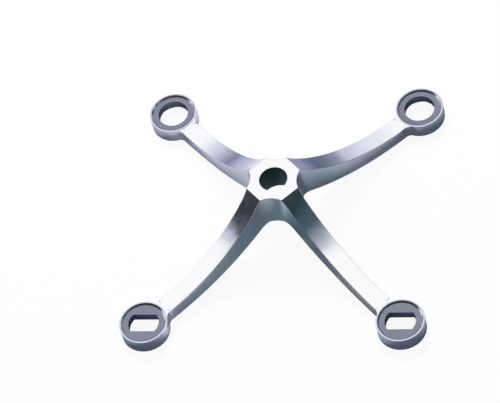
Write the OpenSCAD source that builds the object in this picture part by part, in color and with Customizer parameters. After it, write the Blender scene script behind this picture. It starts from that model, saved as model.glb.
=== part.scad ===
// Four-arm spider fitting for point-fixed glazing, cast in one piece.
// It stands on its four ring feet, with the hub raised on curved arms.
// Origin: on the hub axis, in the plane of the ring feet. Millimetres.

/* [Layout] */
// Distance between the centres of two neighbouring rings
pitch = 200; // [180:5:260]
// Height from the ring feet to the hub face
total_h = 59; // [54:1:72]

/* [Hub] */
// Distance from the axis to the straight edges of the hub face
hub_reach = 20; // [18:0.5:23]
// Thickness of the hub along its axis
hub_t = 30; // [26:1:34]
// Radius of the hollow between two neighbouring arms
crotch_r = 18; // [14:0.5:24]
// Diameter of the bolt bore through the hub
hub_bore_d = 22; // [12:0.5:24]
// Diameter of the bolt head recess under the hub
head_recess_d = 30; // [26:0.5:32]
// Depth of the bolt head recess under the hub
head_recess_h = 9; // [4:0.5:14]

/* [Arms] */
// Width of an arm beside the hub face
arm_root_w = 15.6; // [13:0.2:18]
// Width of an arm at the ring centre
arm_tip_w = 13.6; // [11:0.2:16]
// Radius of the blend between an arm and its ring
ring_blend_r = 6; // [3:0.5:10]

/* [Rings] */
// Outer diameter of a ring
ring_d = 38; // [34:0.5:44]
// Height of a ring
ring_h = 12.5; // [11:0.5:16]
// How far the machined ring faces stand proud of the arm, above and below
ring_proud = 0.5; // [0.2:0.1:1.2]
// Least width of the flat land round the ring rim
rim_land = 0.8; // [0.4:0.1:1.6]
// Diameter of the flat washer seat inside the rim
seat_d = 31; // [29:0.5:33]
// Depth of the washer seat below the rim
seat_depth = 1.2; // [0.8:0.1:2]
// Thickness of the ring web between its two seats
web_t = 7; // [5:0.5:8]
// Diameter of the recess under a ring
under_recess_d = 30; // [27:0.5:33]
// Diameter of the round eyes, and length of the slots
eye_d = 24; // [16:0.5:26]
// Width of the slots
slot_w = 15; // [10:0.5:20]

/* [Hidden] */
$fn = 96;

over = 1;                                   // how far a cutter runs past a face
arm_angles = [45, 135, 225, 315];
eye_reach = pitch / sqrt(2);                // ring centre, measured along its arm
ring_r = ring_d / 2;
hub_floor_z = total_h - hub_t;
hub_floor_reach = hub_reach * 0.9;          // half size of the flat under the hub
seat_z = ring_h - seat_depth;
seat_mouth_d = min(seat_d + 2 * seat_depth, ring_d - 2 * rim_land);     // 45 degrees where there is room
web_floor_z = seat_z - web_t;

// Half width of an arm, falling evenly along it
flank_slope = (arm_root_w - arm_tip_w) / 2 / (eye_reach - hub_reach);
flank_w0 = arm_root_w / 2 + flank_slope * hub_reach;
flank_angle = atan(flank_slope);
function flank(reach) = flank_w0 - flank_slope * reach;

// Both curves of an arm run level here, just before its ring
level_reach = eye_reach - ring_r;
level_top_z = ring_h - ring_proud;
level_under_z = ring_proud;

// Radius of a curve that is level at level_reach and climbs to a point nearer the hub
function climb_r(reach, climb) = (pow(level_reach - reach, 2) + climb * climb) / (2 * climb);
top_curve_r = climb_r(hub_reach, total_h - level_top_z);
under_curve_r = climb_r(hub_floor_reach, hub_floor_z - level_under_z);

// Centre of the hollow between two arms, on the line midway between them
hollow_c = (flank_w0 + crotch_r / cos(flank_angle)) / (1 + flank_slope);
hollow_touch = hollow_c - crotch_r * sin(flank_angle);

// Centre of the blend between an arm and its ring, and the point where it touches the ring
blend_w = flank(level_reach) + ring_blend_r;
blend_span = sqrt(pow(ring_r + ring_blend_r, 2) - pow(blend_w, 2));
blend_c = [eye_reach - blend_span, blend_w];
blend_share = ring_r / (ring_r + ring_blend_r);
blend_touch = [eye_reach - blend_span * blend_share, blend_w * blend_share];

// Plan of half an arm, from the axis to the ring centre, with its two inside curves
module half_arm_plan() {
    difference() {
        polygon([
            [0, 0],
            [hollow_c, hollow_c],
            [hollow_touch, flank(hollow_touch)],
            [blend_c[0], flank(blend_c[0])],
            blend_c,
            blend_touch,
            [eye_reach, 0]
        ]);
        translate([hollow_c, hollow_c]) circle(r = crotch_r);
        translate(blend_c) circle(r = ring_blend_r);
    }
}

// Plan of the hub and all four arms
module plan() {
    for (a = arm_angles) rotate(a) {
        half_arm_plan();
        mirror([0, 1]) half_arm_plan();
    }
}

// Stands a side view, drawn as reach and height, upright along one arm
module along_arm(half_w) {
    translate([0, half_w, 0]) rotate([90, 0, 0]) linear_extrude(2 * half_w) children();
}

// Space over one arm: inside its upper curve, then level across the ring
module space_over_arm() {
    along_arm(hub_reach) {
        intersection() {
            translate([level_reach, level_top_z + top_curve_r]) circle(r = top_curve_r);
            translate([hub_reach - over, 0]) square([level_reach - hub_reach + over, total_h + 2 * over]);
        }
        translate([level_reach, level_top_z]) square([ring_d, total_h]);
    }
}

// Space under one arm and its quarter of the hub: outside the lower curve
module space_under_arm() {
    along_arm(hub_floor_reach - over) {
        difference() {
            translate([0, -over]) square([level_reach, hub_floor_z + over]);
            translate([level_reach, level_under_z + under_curve_r]) circle(r = under_curve_r);
        }
        translate([level_reach, -over]) square([ring_d, level_under_z + over]);
    }
}

// Hub and arms as one casting: the plan raised to full height, less the spaces over and under it
module hub_and_arms() {
    difference() {
        linear_extrude(total_h) plan();
        for (a = arm_angles) rotate(a) space_over_arm();
        for (a = arm_angles) rotate(a) space_under_arm();
    }
}

// Hollow of one ring: chamfered mouth down to the washer seat, and the recess under its web
module ring_seats() {
    mouth_grow = (seat_mouth_d - seat_d) / seat_depth;
    translate([0, 0, seat_z])
        cylinder(d1 = seat_d, d2 = seat_d + mouth_grow * (seat_depth + over), h = seat_depth + over);
    translate([0, 0, -over]) cylinder(d = under_recess_d, h = web_floor_z + over);
}

// Round eye through the ring web
module round_eye() {
    translate([0, 0, -over]) cylinder(d = eye_d, h = ring_h + 2 * over);
}

// Flat-sided slot through the ring web, lying along X
module slot_eye() {
    translate([0, 0, -over]) linear_extrude(ring_h + 2 * over) intersection() {
        circle(d = eye_d);
        square([eye_d + 2 * over, slot_w], center = true);
    }
}

// Bolt bore through the hub, with the bolt head recess under it
module hub_bore() {
    translate([0, 0, hub_floor_z - over]) {
        cylinder(d = hub_bore_d, h = hub_t + 2 * over);
        cylinder(d = head_recess_d, h = head_recess_h + over);
    }
}

module spider_body() {
    color("silver") difference() {
        union() {
            hub_and_arms();
            for (a = arm_angles) rotate(a) translate([eye_reach, 0, 0]) cylinder(d = ring_d, h = ring_h);
        }
        hub_bore();
        for (x = [-pitch / 2, pitch / 2]) {
            for (y = [-pitch / 2, pitch / 2]) translate([x, y, 0]) ring_seats();
            translate([x, pitch / 2, 0]) round_eye();
            translate([x, -pitch / 2, 0]) slot_eye();
        }
    }
}

spider_body();
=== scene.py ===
# %% [markdown]
# # A four-arm glass spider fitting
#
# The real object is one stainless steel casting. It holds the corners of four glass panes on a façade: the
# hub is bolted to the building, and each arm ends in a ring that takes a swivelling glass bolt. Everything
# here is about one piece of metal, so the lesson is about three things: rounded edges, the difference between
# a buffed and a machined surface, and what a bright metal has round it to mirror.
#
# The exact shape comes from the CAD model. It is loaded first, and its box gives the sizes below.

# %% Load the CAD casting
import math

import bmesh
import bpy
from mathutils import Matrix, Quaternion, Vector


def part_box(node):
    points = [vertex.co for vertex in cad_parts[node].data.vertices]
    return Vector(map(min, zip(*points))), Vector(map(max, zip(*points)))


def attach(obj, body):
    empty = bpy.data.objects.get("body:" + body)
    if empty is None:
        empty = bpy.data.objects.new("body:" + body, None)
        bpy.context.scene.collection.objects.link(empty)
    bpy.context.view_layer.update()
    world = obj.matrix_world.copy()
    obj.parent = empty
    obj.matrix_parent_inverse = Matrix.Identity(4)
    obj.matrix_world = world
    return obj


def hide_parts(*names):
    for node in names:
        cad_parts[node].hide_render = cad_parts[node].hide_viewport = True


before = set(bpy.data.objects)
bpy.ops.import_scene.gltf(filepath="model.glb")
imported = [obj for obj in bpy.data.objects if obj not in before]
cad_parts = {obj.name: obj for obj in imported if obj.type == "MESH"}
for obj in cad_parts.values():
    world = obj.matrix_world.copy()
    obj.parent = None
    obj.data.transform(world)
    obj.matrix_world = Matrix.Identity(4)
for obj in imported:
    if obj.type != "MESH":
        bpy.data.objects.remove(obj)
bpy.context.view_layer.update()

print("CAD nodes:", sorted(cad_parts))

# %% [markdown]
# ## Sizes
#
# Blender works in metres, and a maker thinks in millimetres, so every size below is written as a number of
# millimetres. A ring reaches from its centre to the edge of the CAD box, which gives the distance between the
# rings. The other sizes are the radii and heights at which one surface of the casting ends and another
# begins.

# %% Sizes of the casting
MM = 0.001
high_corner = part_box("spider_body")[1]
RING_R = 19 * MM
RING_TOP = 12.5 * MM
RING_AT = high_corner.x - RING_R
CAD_SEAT_R = 15.5 * MM          # edge of the flat washer seat in a ring
CAD_MOUTH_R = 16.7 * MM         # top edge of the sloping mouth above the seat
HUB_BORE_R = 11 * MM
BOLT_R = 15 * MM                # bolt head recess under the hub
print(f"rings {2000 * RING_AT:.1f} mm apart, hub face {1000 * high_corner.z:.1f} mm above the feet")

# %% [markdown]
# ## Two small helpers
#
# Colours are written the way a paint chart gives them, as sRGB hex codes. Shaders count light, so one
# function turns a code into linear values. The other helper adds one node to any tree, whether it is a shader
# tree or a geometry tree: its settings are keyword arguments, and `inputs` holds a value or a link for each
# socket.

# %% Colour and node helpers
def from_hex(code):
    """An sRGB hex colour as linear red, green, blue and alpha."""
    channels = [int(code[i:i + 2], 16) / 255 for i in (1, 3, 5)]
    linear = [c / 12.92 if c <= 0.04045 else ((c + 0.055) / 1.055) ** 2.4 for c in channels]
    return (*linear, 1.0)


def add_node(tree, kind, inputs=None, **settings):
    """Adds one node. A value in inputs that is itself a socket is linked, and any other value is set."""
    made = tree.nodes.new(kind)
    for name, value in settings.items():
        setattr(made, name, value)
    for socket, value in (inputs or {}).items():
        if isinstance(value, bpy.types.NodeSocket):
            tree.links.new(value, made.inputs[socket])
        else:
            made.inputs[socket].default_value = value
    return made


def new_material(name):
    """An empty material, with its tree and its output node."""
    material = bpy.data.materials.new(name)
    material.use_nodes = True
    material.node_tree.nodes.clear()
    return material, material.node_tree, add_node(material.node_tree, "ShaderNodeOutputMaterial")


print("white is", [round(c, 3) for c in from_hex("#FFFFFF")])

# %% [markdown]
# ## The buffed skin
#
# The casting is stainless steel. It is ground on a belt and then buffed with a cloth wheel until it mirrors. A
# hand-held wheel never leaves a true plane, so the skin has slow waves about a centimetre long, which bend
# straight reflections, and fine wheel lines. Steel is a metal: its colour is the colour of its reflection, so
# it is nearly white, a little cold, and the rest of what is seen is the room.

# %% Buffed stainless steel
WAVE_LENGTH = 14 * MM
WAVE_DEPTH = 0.35 * MM
WHEEL_LINE = 0.9 * MM           # real lines are about 0.05 mm, too fine to show, so they are drawn coarser
LINE_DEPTH = 0.02 * MM

buffed, tree, output = new_material("buffed_stainless")
place = add_node(tree, "ShaderNodeTexCoord").outputs["Object"]
waves = add_node(tree, "ShaderNodeTexNoise", {"Vector": place, "Scale": 1 / WAVE_LENGTH, "Detail": 1.5})
lines = add_node(tree, "ShaderNodeTexNoise", {"Vector": place, "Scale": 1 / WHEEL_LINE, "Detail": 3.0})
shine = add_node(tree, "ShaderNodeMapRange", {
    "Value": waves.outputs["Fac"], "From Min": 0.3, "From Max": 0.7, "To Min": 0.09, "To Max": 0.17})
wavy = add_node(tree, "ShaderNodeBump", {
    "Height": waves.outputs["Fac"], "Strength": 0.35, "Distance": WAVE_DEPTH})
lined = add_node(tree, "ShaderNodeBump", {
    "Height": lines.outputs["Fac"], "Strength": 0.12, "Distance": LINE_DEPTH,
    "Normal": wavy.outputs["Normal"]})
steel = add_node(tree, "ShaderNodeBsdfPrincipled", {
    "Base Color": from_hex("#F9FAFC"), "Metallic": 1.0, "Roughness": shine.outputs["Result"],
    "Normal": lined.outputs["Normal"]})
tree.links.new(steel.outputs["BSDF"], output.inputs["Surface"])
print("made", buffed.name)

# %% [markdown]
# ## The machined seats and bores
#
# The rings are faced on a lathe so that a washer sits flat, and the holes are bored. A cutting tool leaves
# fine turned rings, so these places scatter light and look grey beside the buffed skin. A rim is turned last
# and finest, and mirrors best. The hub bore is only drilled, so its wall is the darkest and dullest. The
# pattern is a distance from the nearest ring centre: folding x and y with an absolute value puts all four
# rings on one spot.

# %% Machined seats
TOOL_FEED = 0.8 * MM            # a real feed is about 0.15 mm, too fine to show, so it is drawn coarser
CUT_DEPTH = 0.03 * MM
WAVE_PERIOD = 0.31              # a wave texture at scale 1 repeats after this many metres
STAIN_SIZE = 6 * MM
STAIN_SPREAD = 0.08             # how much duller or brighter a stain makes the cut


def turned_finish(name, colour, roughness, hollow=0.0):
    """A lathe-cut finish with rings about the nearest ring centre. A hollow above 0 dishes the cut slightly."""
    material, tree, output = new_material(name)
    place = add_node(tree, "ShaderNodeTexCoord").outputs["Object"]
    folded = add_node(tree, "ShaderNodeVectorMath", {0: place}, operation="ABSOLUTE")
    centred = add_node(tree, "ShaderNodeMapping", {
        "Vector": folded.outputs[0], "Location": (-RING_AT, -RING_AT, 0), "Scale": (1, 1, 0)})
    rings = add_node(tree, "ShaderNodeTexWave", {
        "Vector": centred.outputs[0], "Scale": WAVE_PERIOD / TOOL_FEED, "Distortion": 0.4},
        wave_type="RINGS", rings_direction="Z")
    stain = add_node(tree, "ShaderNodeTexNoise", {"Vector": place, "Scale": 1 / STAIN_SIZE, "Detail": 3.0})
    dull = add_node(tree, "ShaderNodeMapRange", {
        "Value": stain.outputs["Fac"], "To Min": roughness - STAIN_SPREAD,
        "To Max": roughness + STAIN_SPREAD})
    reach = add_node(tree, "ShaderNodeVectorMath", {0: centred.outputs[0]}, operation="LENGTH")
    dished = add_node(tree, "ShaderNodeBump", {"Height": reach.outputs["Value"], "Distance": hollow})
    cut = add_node(tree, "ShaderNodeBump", {
        "Height": rings.outputs["Fac"], "Strength": 0.4, "Distance": CUT_DEPTH,
        "Normal": dished.outputs["Normal"]})
    steel = add_node(tree, "ShaderNodeBsdfPrincipled", {
        "Base Color": from_hex(colour), "Metallic": 1.0, "Roughness": dull.outputs["Result"],
        "Normal": cut.outputs["Normal"]})
    tree.links.new(steel.outputs["BSDF"], output.inputs["Surface"])
    return material


faced = turned_finish("faced_stainless", "#8E92A2", 0.40, 0.12)
rim = turned_finish("turned_rim_stainless", "#DADBE6", 0.20)
bored = turned_finish("bored_stainless", "#9CB0BC", 0.45)
drilled = turned_finish("drilled_stainless", "#6A7A78", 0.5)
print("made", faced.name, rim.name, bored.name, "and", drilled.name)

# %% [markdown]
# ## A copy to finish
#
# A CAD mesh is loose triangles, which neither round nor shade well, and it has to stay as it is. So a copy is
# made, the triangles are joined, and those that lie in one plane are merged into one face.
#
# The sloping mouth of a ring shows how deep it is, because its far side mirrors the dark side of the room. In
# the CAD it is narrow, so from this distance it would be a hairline. On the copy both circles of the mouth are
# moved outwards, and the ring's outer corner is lowered a little, so that the rim falls away on both sides.
# That is done before the merging, while each circle is easily found by its distance from the ring centre.

# %% A copy with its doubles merged
JOIN_DISTANCE = 0.002 * MM
casting = bpy.data.objects.new("buffed_casting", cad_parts["spider_body"].data.copy())
bpy.context.scene.collection.objects.link(casting)
loose = len(casting.data.vertices)
tidy = bmesh.new()
tidy.from_mesh(casting.data)
bmesh.ops.remove_doubles(tidy, verts=tidy.verts, dist=JOIN_DISTANCE)
print(loose, "loose corners became", len(tidy.verts))

# %% Wider ring mouths and a crowned rim
SEAT_R = 16.3 * MM
MOUTH_R = 17.8 * MM
CROWN_DROP = 0.25 * MM
ON_CIRCLE = 0.05 * MM           # a corner this near to a circle belongs to it
ON_LEVEL = 0.01 * MM
moved = 0
for corner in tidy.verts:
    centre = Vector((
        math.copysign(RING_AT, corner.co.x), math.copysign(RING_AT, corner.co.y), corner.co.z))
    reach = (corner.co - centre).length
    for old, new in ((CAD_SEAT_R, SEAT_R), (CAD_MOUTH_R, MOUTH_R)):
        if abs(reach - old) < ON_CIRCLE:
            corner.co = centre + (corner.co - centre) * new / old
            moved += 1
            break
    if abs(reach - RING_R) < ON_CIRCLE and corner.co.z > RING_TOP - ON_LEVEL:
        corner.co.z -= CROWN_DROP
print("moved", moved, "corners of the ring mouths")

# %% One face for each plane
SAME_PLANE = math.radians(0.3)
bmesh.ops.dissolve_limit(
    tidy, angle_limit=SAME_PLANE, verts=tidy.verts, edges=tidy.edges, delimit={"NORMAL"})
for face in tidy.faces:
    face.smooth = True
tidy.to_mesh(casting.data)
tidy.free()
casting.data.materials.clear()
for name in [a.name for a in casting.data.attributes if a.name == "custom_normal"]:
    casting.data.attributes.remove(casting.data.attributes[name])
print("the copy has", len(casting.data.vertices), "corners and", len(casting.data.polygons), "faces")

# %% [markdown]
# ## Rounded edges by rule
#
# CAD edges are perfectly sharp, and real ones never are: the buffing wheel takes about half a millimetre off
# every edge of the arms and the hub, while the turned rings keep crisp edges. A thin round line along each
# edge catches light, so it does more for the look than anything else here.
#
# A Bevel modifier can take a different width at each edge from an edge weight. Setting those weights by hand
# would be slow, and the rule is simple, so a small Geometry Nodes tree gives it. An edge that turns outwards
# by more than the crease angle is rounded: fully along the arms, less and less towards a ring, and not at all
# beside it, because the ring stands only half a millimetre proud and two roundings don't fit in that step. A
# ring's own edges are rounded by a fifth of the width. An edge that stays unrounded is marked sharp, so that
# smooth shading stops there.

# %% Inputs of the rule
rule = bpy.data.node_groups.new("round_and_finish", "GeometryNodeTree")
rule.interface.new_socket("Geometry", in_out="INPUT", socket_type="NodeSocketGeometry")
for name in ("Crease", "Ring At", "Rim Radius", "Seat Radius", "Bore Radius", "Bolt Radius", "Fade From",
             "Fade", "Ring Share", "Ring Middle", "Ring Half"):
    rule.interface.new_socket(name, in_out="INPUT", socket_type="NodeSocketFloat")
rule.interface.new_socket("Geometry", in_out="OUTPUT", socket_type="NodeSocketGeometry")
given = add_node(rule, "NodeGroupInput").outputs
print("the rule takes", len(given) - 1, "inputs")

# %% Distances from the nearest ring and from the axis
folded = add_node(rule, "ShaderNodeVectorMath", {
    0: add_node(rule, "GeometryNodeInputPosition").outputs[0]}, operation="ABSOLUTE")
parts = add_node(rule, "ShaderNodeSeparateXYZ", {0: folded.outputs[0]})
flat = add_node(rule, "ShaderNodeCombineXYZ", {"X": parts.outputs["X"], "Y": parts.outputs["Y"]})
centre = add_node(rule, "ShaderNodeCombineXYZ", {"X": given["Ring At"], "Y": given["Ring At"]})
ring_reach = add_node(rule, "ShaderNodeVectorMath", {
    0: flat.outputs[0], 1: centre.outputs[0]}, operation="DISTANCE")
axis_reach = add_node(rule, "ShaderNodeVectorMath", {0: flat.outputs[0]}, operation="LENGTH")
from_ring, from_axis = [
    add_node(rule, "GeometryNodeFieldOnDomain", {
        "Value": reach.outputs["Value"]}, domain="POINT").outputs["Value"]
    for reach in (ring_reach, axis_reach)]
in_rim = add_node(rule, "ShaderNodeMath", {0: from_ring, 1: given["Rim Radius"]}, operation="LESS_THAN")
print("the rule has", len(rule.nodes), "nodes so far")

# %% Share of the rounding on the hub and the arms
BORE_SHARE = 0.5                # the edge of the hub bore is rounded by half of the width
fade_end = add_node(rule, "ShaderNodeMath", {
    0: given["Fade From"], 1: given["Fade"]}, operation="ADD")
by_ring = add_node(rule, "ShaderNodeMapRange", {
    "Value": from_ring, "From Min": given["Fade From"], "From Max": fade_end.outputs[0]})
by_bore = add_node(rule, "ShaderNodeMapRange", {
    "Value": from_axis, "From Min": given["Bore Radius"], "From Max": given["Bolt Radius"],
    "To Min": BORE_SHARE})
arm_share = add_node(rule, "ShaderNodeMath", {
    0: by_ring.outputs["Result"], 1: by_bore.outputs["Result"]}, operation="MINIMUM")
print("the rule has", len(rule.nodes), "nodes so far")

# %% [markdown]
# A ring's own edges are those inside its rim, and the two circles round its end faces. The arm's edges run in
# between those two circles, half a millimetre or less from each, so the height tells them apart: an edge near
# the ring that isn't at middle height belongs to an end face.

# %% Share of the rounding on a ring
at_middle = add_node(rule, "ShaderNodeMath", {
    0: parts.outputs["Z"], 1: given["Ring Middle"], 2: given["Ring Half"]}, operation="COMPARE")
near_ring = add_node(rule, "ShaderNodeMath", {0: from_ring, 1: given["Fade From"]}, operation="LESS_THAN")
end_edge = add_node(rule, "ShaderNodeMath", {
    0: near_ring.outputs[0], 1: at_middle.outputs[0]}, operation="SUBTRACT")
turned_edge = add_node(rule, "ShaderNodeMath", {
    0: end_edge.outputs[0], 1: in_rim.outputs[0]}, operation="MAXIMUM")
ring_share = add_node(rule, "ShaderNodeMath", {
    0: turned_edge.outputs[0], 1: given["Ring Share"]}, operation="MULTIPLY")
share = add_node(rule, "ShaderNodeMath", {
    0: arm_share.outputs[0], 1: ring_share.outputs[0]}, operation="MAXIMUM")
print("the rule has", len(rule.nodes), "nodes so far")

# %% Weigh the edges that turn outwards, and keep the other creases sharp
LEAST_SHARE = 0.005             # below this share an edge counts as unrounded
bend = add_node(rule, "GeometryNodeInputMeshEdgeAngle")
outward = add_node(rule, "ShaderNodeMath", {
    0: bend.outputs["Signed Angle"], 1: given["Crease"]}, operation="GREATER_THAN")
weight = add_node(rule, "ShaderNodeMath", {0: outward.outputs[0], 1: share.outputs[0]}, operation="MULTIPLY")
weighted = add_node(rule, "GeometryNodeStoreNamedAttribute", {
    "Geometry": given["Geometry"], "Name": "bevel_weight_edge", "Value": weight.outputs[0]},
    data_type="FLOAT", domain="EDGE")
creased = add_node(rule, "ShaderNodeMath", {
    0: bend.outputs["Unsigned Angle"], 1: given["Crease"]}, operation="GREATER_THAN")
unrounded = add_node(rule, "ShaderNodeMath", {0: weight.outputs[0], 1: LEAST_SHARE}, operation="LESS_THAN")
crisp = add_node(rule, "ShaderNodeMath", {
    0: creased.outputs[0], 1: unrounded.outputs[0]}, operation="MULTIPLY")
shaded = add_node(rule, "GeometryNodeSetShadeSmooth", {
    "Geometry": weighted.outputs[0], "Selection": crisp.outputs[0], "Shade Smooth": False}, domain="EDGE")
print("the rule has", len(rule.nodes), "nodes so far")

# %% [markdown]
# The same tree hands out the five finishes, by the same distances. Inside a ring everything is machined: the
# rim is turned, the seat is faced, and the upright walls of the eye are bored. The upright walls of the hub
# bore are drilled. Everything else stays buffed.

# %% The rule hands out finishes
UPRIGHT = 0.5                   # a wall is a face whose normal rises or falls by less than this
in_seat = add_node(rule, "ShaderNodeMath", {0: from_ring, 1: given["Seat Radius"]}, operation="LESS_THAN")
in_bore = add_node(rule, "ShaderNodeMath", {0: from_axis, 1: given["Bolt Radius"]}, operation="LESS_THAN")
facing = add_node(rule, "ShaderNodeSeparateXYZ", {
    0: add_node(rule, "GeometryNodeInputNormal").outputs[0]})
level = add_node(rule, "ShaderNodeMath", {0: facing.outputs["Z"]}, operation="ABSOLUTE")
upright = add_node(rule, "ShaderNodeMath", {0: level.outputs[0], 1: UPRIGHT}, operation="LESS_THAN")
eye_wall = add_node(rule, "ShaderNodeMath", {
    0: in_seat.outputs[0], 1: upright.outputs[0]}, operation="MULTIPLY")
hub_wall = add_node(rule, "ShaderNodeMath", {
    0: in_bore.outputs[0], 1: upright.outputs[0]}, operation="MULTIPLY")
whole = add_node(rule, "GeometryNodeRealizeInstances", {"Geometry": shaded.outputs[0]})
skin = add_node(rule, "GeometryNodeSetMaterial", {"Geometry": whole.outputs[0], "Material": buffed})
for place, finish in ((in_rim, rim), (in_seat, faced), (eye_wall, bored), (hub_wall, drilled)):
    skin = add_node(rule, "GeometryNodeSetMaterial", {
        "Geometry": skin.outputs[0], "Selection": place.outputs[0], "Material": finish})
add_node(rule, "NodeGroupOutput", {"Geometry": skin.outputs[0]})
print("the rule has", len(rule.nodes), "nodes")

# %% Round the edges and keep the result as a plain mesh
BUFFED_ROUND = 0.5 * MM
CLEAR = 0.2 * MM                # puts a limit safely past the circle it is for
ARM_STEP = 0.4 * MM             # less than the arm lies below the faces of its ring
sizes = {
    "Crease": math.radians(20), "Ring At": RING_AT, "Rim Radius": RING_R - CLEAR,
    "Seat Radius": SEAT_R + CLEAR, "Bore Radius": HUB_BORE_R, "Bolt Radius": BOLT_R + CLEAR,
    "Fade From": RING_R + 7 * MM, "Fade": 14 * MM, "Ring Share": 0.2,
    "Ring Middle": RING_TOP / 2, "Ring Half": RING_TOP / 2 - ARM_STEP}
marked = casting.modifiers.new("round_and_finish", "NODES")
marked.node_group = rule
for socket in rule.interface.items_tree:
    if socket.in_out == "INPUT" and socket.name in sizes:
        marked[socket.identifier] = sizes[socket.name]
rounding = casting.modifiers.new("rounding", "BEVEL")
rounding.width = BUFFED_ROUND
rounding.segments = 3
rounding.limit_method = "WEIGHT"
rounding.miter_outer = "MITER_ARC"
rounding.use_clamp_overlap = True
smoothing = casting.modifiers.new("smoothing", "WEIGHTED_NORMAL")
smoothing.keep_sharp = True
made = bpy.data.meshes.new_from_object(casting.evaluated_get(bpy.context.evaluated_depsgraph_get()))
casting.modifiers.clear()
casting.data = made
print("the casting has", len(made.polygons), "faces and finishes", [m.name for m in made.materials])

# %% The casting stands for the CAD node
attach(casting, "root")
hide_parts("spider_body")
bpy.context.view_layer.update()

# %% [markdown]
# ## Camera
#
# The fitting is seen from above and in front, from about two and a half metres away through a long lens, with
# the camera tilted sideways. A few angles say where it stands: it circles round the fitting, rises, and then
# turns about its own line of sight.

# %% Camera
AROUND = math.radians(-70.43)
RISE = math.radians(53.40)
ROLL = math.radians(-16.83)
DISTANCE = 2557.6 * MM
LENS = 235.8
SIGHT_END = 50
AIM_LEFT = 25.9 * MM
AIM_UP = 9.2 * MM

back = Vector((math.cos(RISE) * math.cos(AROUND), math.cos(RISE) * math.sin(AROUND), math.sin(RISE)))
turn = back.to_track_quat("Z", "Y") @ Quaternion((0, 0, 1), ROLL)
aim = Vector((0, 0, RING_TOP)) + turn @ Vector((-AIM_LEFT, AIM_UP, 0))
camera = bpy.data.objects.new("camera", bpy.data.cameras.new("camera"))
bpy.context.scene.collection.objects.link(camera)
camera.rotation_mode = "QUATERNION"
camera.rotation_quaternion = turn
camera.location = aim + DISTANCE * back
camera.data.lens = LENS
camera.data.clip_end = SIGHT_END
bpy.context.scene.camera = camera
print("camera at", [round(value, 3) for value in camera.location])

# %% [markdown]
# ## The studio
#
# Bright metal shows the room it stands in, so the room is built first. It is a white tent, the way jewellery
# and taps are shown: the world is plain white wherever the camera or the metal looks, and a softer light for
# everything else. One large lamp stands behind, so that each arm shades the floor in front of it.

# %% World
scene = bpy.context.scene
scene.view_settings.view_transform = "Standard"


def background_rays(tree):
    """1 for the rays that see the background: from the camera, mirrored in metal, or through glass."""
    path = add_node(tree, "ShaderNodeLightPath")
    seen = add_node(tree, "ShaderNodeMath", {
        0: path.outputs["Is Camera Ray"], 1: path.outputs["Is Glossy Ray"]}, operation="MAXIMUM")
    return add_node(tree, "ShaderNodeMath", {
        0: seen.outputs[0], 1: path.outputs["Is Transmission Ray"]}, operation="MAXIMUM").outputs[0]


FILL_LIGHT = 0.4
world = bpy.data.worlds.new("tent")
scene.world = world
world.use_nodes = True
tree = world.node_tree
tree.nodes.clear()
fill = add_node(tree, "ShaderNodeBackground", {"Color": from_hex("#F4F6FF"), "Strength": FILL_LIGHT})
white = add_node(tree, "ShaderNodeBackground", {"Color": from_hex("#FFFFFF"), "Strength": 1.0})
tent = add_node(tree, "ShaderNodeMixShader", {
    0: background_rays(tree), 1: fill.outputs[0], 2: white.outputs[0]})
add_node(tree, "ShaderNodeOutputWorld", {"Surface": tent.outputs[0]})
print("the world is white to look at and lights at", FILL_LIGHT)

# %% Key lamp
KEY_LIGHT = 0.6
LAMP_AT = Vector((-0.35, 1.08, 1.45))
LAMP_WIDTH = 0.9

lamp = bpy.data.objects.new("key_lamp", bpy.data.lights.new("key_lamp", "AREA"))
lamp.data.shape = "DISK"
lamp.data.size = LAMP_WIDTH
lamp.data.energy = KEY_LIGHT * math.pi ** 2 * LAMP_AT.length ** 3 / LAMP_AT.z
lamp.location = LAMP_AT
lamp.rotation_mode = "QUATERNION"
lamp.rotation_quaternion = LAMP_AT.to_track_quat("Z", "Y")
lamp.visible_glossy = False
scene.collection.objects.link(lamp)
print(f"key lamp of {lamp.data.energy:.0f} W lights a level floor at {KEY_LIGHT}")

# %% [markdown]
# ## Floor
#
# The floor is white paper. The rays that see the background get most of its brightness as a plain glow, and
# the rest from the lamps, so that the floor looks white and still keeps a faint soft shadow under the
# fitting.

# %% White paper floor
SHADOW_SHARE = 0.08
FLOOR_HALF = 4.0
FLOOR_DROP = 0.2 * MM


def hang_sheet(name, rows, material):
    """A stage sheet from rows of corners."""
    mesh = bpy.data.meshes.new(name)
    wide = len(rows[0])
    quads = [(r * wide + c, r * wide + c + 1, (r + 1) * wide + c + 1, (r + 1) * wide + c)
             for r in range(len(rows) - 1) for c in range(wide - 1)]
    mesh.from_pydata([point for row in rows for point in row], [], quads)
    mesh.materials.append(material)
    made = bpy.data.objects.new(name, mesh)
    scene.collection.objects.link(made)
    return made


paper, tree, output = new_material("white_paper")
matt = add_node(tree, "ShaderNodeBsdfDiffuse", {"Color": from_hex("#FFFFFF")})
glow = add_node(tree, "ShaderNodeEmission", {"Color": from_hex("#FFFFFF")})
bright = add_node(tree, "ShaderNodeMixShader", {0: SHADOW_SHARE, 1: glow.outputs[0], 2: matt.outputs[0]})
pale = add_node(tree, "ShaderNodeBsdfDiffuse", {"Color": from_hex("#E2E3EA")})
look = add_node(tree, "ShaderNodeMixShader", {
    0: background_rays(tree), 1: pale.outputs[0], 2: bright.outputs[0]})
tree.links.new(look.outputs[0], output.inputs["Surface"])
hang_sheet("floor", [[(x, y, -FLOOR_DROP) for x in (-FLOOR_HALF, FLOOR_HALF)]
                     for y in (-FLOOR_HALF, FLOOR_HALF)], paper)
print("floor", 2 * FLOOR_HALF, "m wide")
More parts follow.
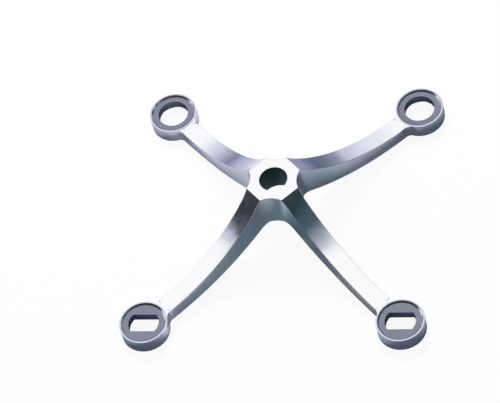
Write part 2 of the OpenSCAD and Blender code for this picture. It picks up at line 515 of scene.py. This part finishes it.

# %% [markdown]
# ## What the metal mirrors
#
# An all-white room would make the fitting vanish, so three sheets just out of the camera's view carry painted
# reflections: a lilac-grey card lies under the fitting, a low screen that glows with painted light stands round
# the back, and a dark cloth that glows with painted shade hangs over the camera's side. The metal mirrors them,
# and nothing else sees them. The card is matt and is lit by the lamp, so the shadows that the arms throw on it
# darken the foot of every upright wall.
#
# None of the three is one plain colour: each carries painted light and shade. Along one direction each follows
# a list of stops, such as the distance from the middle of the card, and across it one list passes smoothly into
# the next, like the ribs of a fan. So every arm and every side of a ring mirrors its own painted run of light
# and dark.

# %% Shared pieces of the cards
SCREEN_R = 0.6


def only_in_reflections(thing):
    """Metal mirrors this sheet, and it neither shows nor shades anything itself."""
    thing.visible_camera = False
    thing.visible_diffuse = False
    thing.visible_transmission = False
    thing.visible_volume_scatter = False
    thing.visible_shadow = False


def graded_colour(tree, along, across, fans):
    """A colour that follows a list of stops along one value, and changes lists across another value.

    A fan is the two values of across between which its colours come in, and its stops: a value of along and a
    hex code each. The first fan has no place of its own.
    """
    colour = None
    for begins, ends, stops in fans:
        first, last = stops[0][0], stops[-1][0]
        at = add_node(tree, "ShaderNodeMapRange", {"Value": along, "From Min": first, "From Max": last})
        ramp = add_node(tree, "ShaderNodeValToRGB", {"Fac": at.outputs["Result"]})
        for number, (where, code) in enumerate(stops):
            share = (where - first) / (last - first)
            spot = ramp.color_ramp.elements[number] if number < 2 else ramp.color_ramp.elements.new(share)
            spot.position = share
            spot.color = from_hex(code)
        if colour is None:
            colour = ramp.outputs["Color"]
            continue
        blend = add_node(tree, "ShaderNodeMapRange", {
            "Value": across, "From Min": begins, "From Max": ends}, interpolation_type="SMOOTHSTEP")
        colour = add_node(tree, "ShaderNodeMix", {
            "Factor": blend.outputs["Result"], "A": colour, "B": ramp.outputs["Color"]},
            data_type="RGBA").outputs["Result"]
    return colour


def bearing(tree, place):
    """The direction of a place in degrees: 0 in front, 90 at the right, and 180 behind."""
    parts = add_node(tree, "ShaderNodeSeparateXYZ", {0: place})
    ahead = add_node(tree, "ShaderNodeMath", {0: parts.outputs["Y"], 1: -1.0}, operation="MULTIPLY")
    turn = add_node(tree, "ShaderNodeMath", {0: parts.outputs["X"], 1: ahead.outputs[0]}, operation="ARCTAN2")
    return add_node(tree, "ShaderNodeMath", {0: turn.outputs[0]}, operation="DEGREES").outputs[0]


print("the screen stands", SCREEN_R, "m from the fitting")

# %% Card under the fitting, lilac-grey, with painted reflections
card_painted_reflection, tree, output = new_material("painted_reflection_card")
place = add_node(tree, "ShaderNodeTexCoord").outputs["Object"]
reach = add_node(tree, "ShaderNodeVectorMath", {0: place}, operation="LENGTH")
# These stops are painted reflections: a painted pool of light, painted shade, and lighter patches that offset
# the shadows the arms throw on the card.
BEHIND_RIGHT = [(0.10, "#A4A6B2"), (0.18, "#9698A8"), (0.23, "#868AA0"), (0.34, "#616980"), (0.60, "#58647A")]
BEHIND_LEFT = [(0.09, "#F6F4FC"), (0.109, "#DCDBE8"), (0.125, "#D0D0DF"), (0.155, "#BEC2D4"),
               (0.20, "#B4B8CC"), (0.325, "#98A0B6"), (0.60, "#868CA2")]
LEFT = [(0.055, "#C4CBD4"), (0.064, "#C0C6D2"), (0.077, "#CACFDA"), (0.093, "#E0E0F0"), (0.11, "#D8DBE8"),
        (0.125, "#DEE0F0"), (0.132, "#B8BAC8"), (0.16, "#9C9CAA"), (0.25, "#A0A4B4"), (0.60, "#868CA2")]
FRONT = [(0.03, "#7F959E"), (0.037, "#A2BAC5"), (0.05, "#A8BECA"), (0.062, "#BCCAD6"), (0.093, "#C6D0E0"),
         (0.112, "#C0CCDC"), (0.119, "#E8EEF8"), (0.126, "#E4EAF6"), (0.135, "#A4AEC0"), (0.155, "#8E98AC"),
         (0.60, "#707C92")]
FRONT_RIGHT = [(0.03, "#8FA9B0"), (0.043, "#9DB2BC"), (0.055, "#AEBBC6"), (0.067, "#B8BEC8"),
               (0.079, "#C4C6CE"), (0.10, "#C6C6D0"), (0.13, "#A8AEBC"), (0.155, "#8E98AC"),
               (0.60, "#707C92")]
RIGHT = [(0.047, "#8696A2"), (0.054, "#8A9BA5"), (0.059, "#93A3AE"), (0.073, "#B4BECA"), (0.09, "#B4BACC"),
         (0.11, "#ACB2C2"), (0.13, "#98A2B0"), (0.17, "#8090A0"), (0.60, "#58647A")]
painted_light_pool = graded_colour(tree, reach.outputs["Value"], bearing(tree, place), [
    (None, None, BEHIND_RIGHT), (-180, -158, BEHIND_LEFT), (-148, -130, LEFT), (-85, -45, FRONT),
    (-10, 30, FRONT_RIGHT), (50, 100, RIGHT), (135, 162, BEHIND_RIGHT)])
card_matt = add_node(tree, "ShaderNodeBsdfDiffuse", {"Color": painted_light_pool})
tree.links.new(card_matt.outputs[0], output.inputs["Surface"])
card = hang_sheet("painted_reflection_card", [[(x, y, -FLOOR_DROP / 2) for x in (-SCREEN_R, SCREEN_R)]
                                 for y in (-SCREEN_R, SCREEN_R)], card_painted_reflection)
only_in_reflections(card)
print("made", card.name)

# %% Low screen round the back, glowing with painted light
SCREEN_TOP = 0.62
SCREEN_TURNS = range(20, 166, 5)
# The screen's colours are painted reflections: darker low down and on the right, and white at the top.
SCREEN_LEFT = [(0.0, "#868CA2"), (0.03, "#80869C"), (0.072, "#9298B0"), (0.12, "#AEB3C9"), (0.168, "#CACAE0"),
               (0.233, "#D8DCEA"), (0.292, "#EAF0F8"), (0.35, "#FFFFFF"), (SCREEN_TOP, "#FFFFFF")]
SCREEN_MIDDLE = [(0.0, "#566276"), (0.06, "#6D788A"), (0.105, "#858A9E"), (0.15, "#8E8DA4"),
                 (0.19, "#CCCAE0"), (0.25, "#D2D0E6"), (0.30, "#DCDEEC"), (0.345, "#E4E6F0"),
                 (0.40, "#E8EAF1"), (0.50, "#EEEFF4"), (SCREEN_TOP, "#FFFFFF")]
SCREEN_RIGHT = [(0.0, "#6E7482"), (0.12, "#6C707E"), (0.25, "#555B68"), (0.34, "#4A515E"), (0.44, "#8A909C"),
                (0.54, "#D8DAE2"), (SCREEN_TOP, "#FFFFFF")]
screen_painted_reflection, tree, output = new_material("painted_light_screen")
parts = add_node(tree, "ShaderNodeSeparateXYZ", {0: add_node(tree, "ShaderNodeTexCoord").outputs["Object"]})
painted_screen_light = graded_colour(tree, parts.outputs["Z"], parts.outputs["X"], [
    (None, None, SCREEN_LEFT), (-0.25, 0.05, SCREEN_MIDDLE), (0.22, 0.34, SCREEN_RIGHT)])
screen_painted_glow = add_node(tree, "ShaderNodeEmission", {"Color": painted_screen_light})
tree.links.new(screen_painted_glow.outputs[0], output.inputs["Surface"])
screen = hang_sheet("painted_light_screen", [
    [(SCREEN_R * math.cos(math.radians(a)), SCREEN_R * math.sin(math.radians(a)), z) for a in SCREEN_TURNS]
    for z in (0.0, SCREEN_TOP)], screen_painted_reflection)
only_in_reflections(screen)
print("made", screen.name, SCREEN_TOP, "m tall")

# %% Painted shade of the cloth, from its dark body to its white hem
# The cloth glows with painted shade, dark grey and teal in its body, and with painted reflections that brighten
# to white at its hem.
HEM_LINE = (0.07, 0.97, 0.077)      # the cloth ends where this direction turns from behind to in front
CLOTH_LEFT = [(-0.35, "#3A3640"), (-0.26, "#433F4A"), (-0.23, "#2A3034"), (-0.205, "#14262A"),
              (-0.165, "#182A30"), (-0.145, "#3C4C5A"), (-0.112, "#A6ADBE"), (-0.066, "#D6D8E6"),
              (-0.02, "#FFFFFF")]
CLOTH_DARK = [(-0.33, "#3A3C44"), (-0.27, "#20383C"), (-0.216, "#445464"), (-0.158, "#425866")]
CLOTH_MIDDLE = CLOTH_DARK + [(-0.103, "#8892A0"), (-0.055, "#98A0AC"), (-0.002, "#DCE0E8"), (0.045, "#FFFFFF")]
CLOTH_RIGHT = CLOTH_DARK + [(0.10, "#444C58"), (0.50, "#4A505C")]
cloth_painted_shade, tree, output = new_material("painted_shade_cloth")
ray = add_node(tree, "ShaderNodeVectorMath", {
    0: add_node(tree, "ShaderNodeTexCoord").outputs["Object"]}, operation="NORMALIZE")
parts = add_node(tree, "ShaderNodeSeparateXYZ", {0: ray.outputs[0]})
hem = add_node(tree, "ShaderNodeVectorMath", {0: ray.outputs[0], 1: HEM_LINE}, operation="DOT_PRODUCT")
shade = graded_colour(tree, hem.outputs["Value"], parts.outputs["X"], [
    (None, None, CLOTH_LEFT), (-0.35, 0.35, CLOTH_MIDDLE), (0.58, 0.68, CLOTH_RIGHT)])
cloth_painted_glow = add_node(tree, "ShaderNodeEmission", {"Color": shade})
tree.links.new(cloth_painted_glow.outputs[0], output.inputs["Surface"])
print("made", cloth_painted_shade.name, "finish")

# %% Dark cloth of painted shade over the camera's side
CLOTH_R = 3.0
CLOTH_TURNS = range(-190, 31, 10)
CLOTH_RISES = range(0, 91, 10)


def on_dome(turn, rise):
    """A point of the cloth, from two angles in degrees."""
    turn, rise = math.radians(turn), math.radians(rise)
    return (CLOTH_R * math.cos(rise) * math.cos(turn), CLOTH_R * math.cos(rise) * math.sin(turn),
            CLOTH_R * math.sin(rise))


# The sheet that carries the painted shade.
cloth = hang_sheet("painted_shade_cloth", [[on_dome(a, e) for a in CLOTH_TURNS] for e in CLOTH_RISES], cloth_painted_shade)
only_in_reflections(cloth)
print("made", cloth.name)
